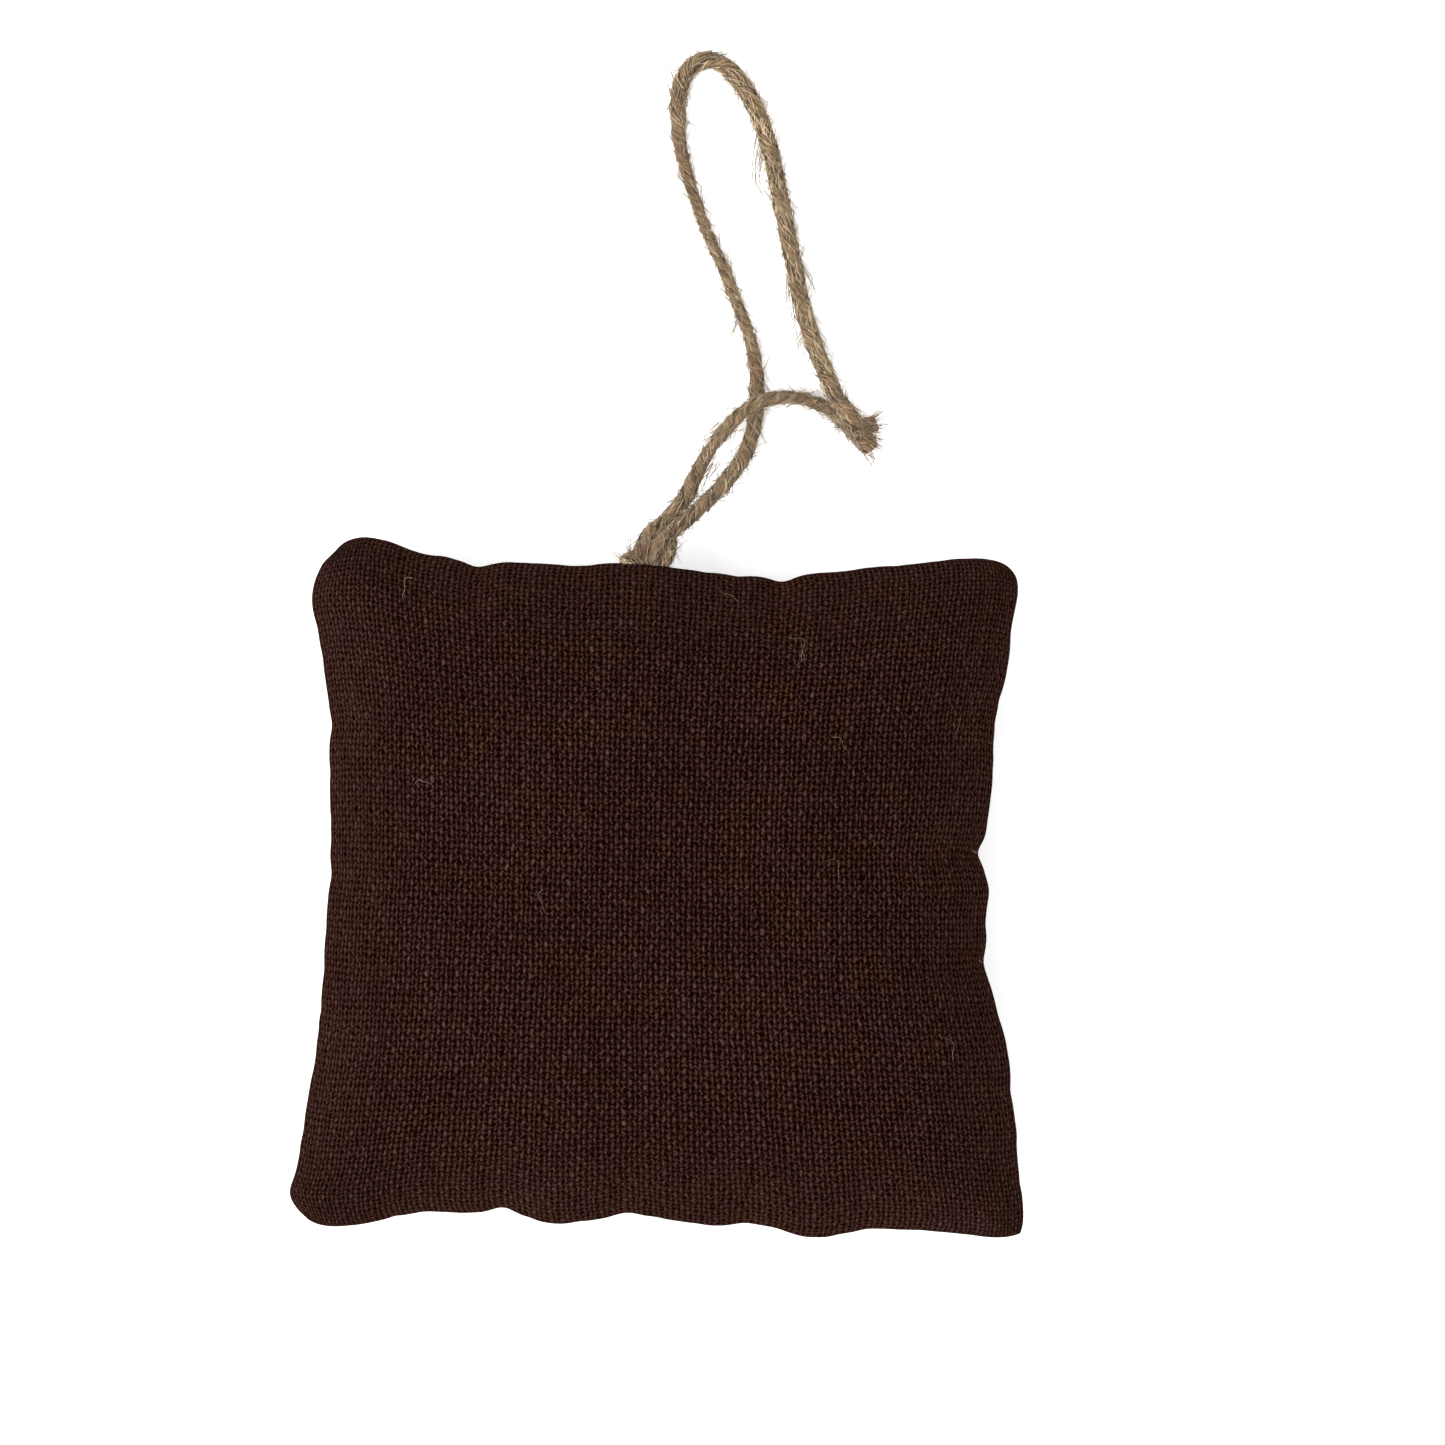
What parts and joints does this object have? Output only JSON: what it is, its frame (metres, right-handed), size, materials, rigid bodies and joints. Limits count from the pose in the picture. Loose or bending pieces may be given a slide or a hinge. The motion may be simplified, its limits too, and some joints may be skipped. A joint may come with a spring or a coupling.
{
  "type": "ring pillow",
  "caption": "Small square filled cloth pillow, sewn from a front and a back panel, with a knotted twine hanging loop caught in its top seam.",
  "frame": {"origin": "under the middle of the pillow, on the surface that its back lies on; the free twine isn't counted", "axes": "+Z out of the front face, +Y towards the edge with the twine, +X to the right when the front is seen with the twine at the top"},
  "size_m": [0.1049, 0.1699, 0.029],
  "materials": {
    "front_cloth": "plain weave, dark brown, matte",
    "back_cloth": "plain weave, dark brown, matte",
    "fibre_filling": "loose fibre",
    "sewing_thread": "spun thread, dark brown",
    "hand_thread": "spun thread, dark brown",
    "twine": "raw two-ply jute, hairy and matte"
  },
  "bodies": {
    "root": {"front_panel": "front_cloth", "back_panel": "back_cloth", "filling": "fibre_filling", "needle_thread": "sewing_thread", "bobbin_thread": "sewing_thread", "closing_thread": "hand_thread", "seam_knot": "twine", "twine_bight": "twine"},
    "hanging_loop": {"long_strand": "twine", "short_strand": "twine", "end_join": "twine"}
  },
  "joints": [
    {"name": "loop_swing", "type": "hinge", "parent": "root", "child": "hanging_loop", "pos_m": [-0.0009, 0.04747, 0.0125], "axis": [1, 0, 0], "range_deg": [0, 120]}
  ]
}
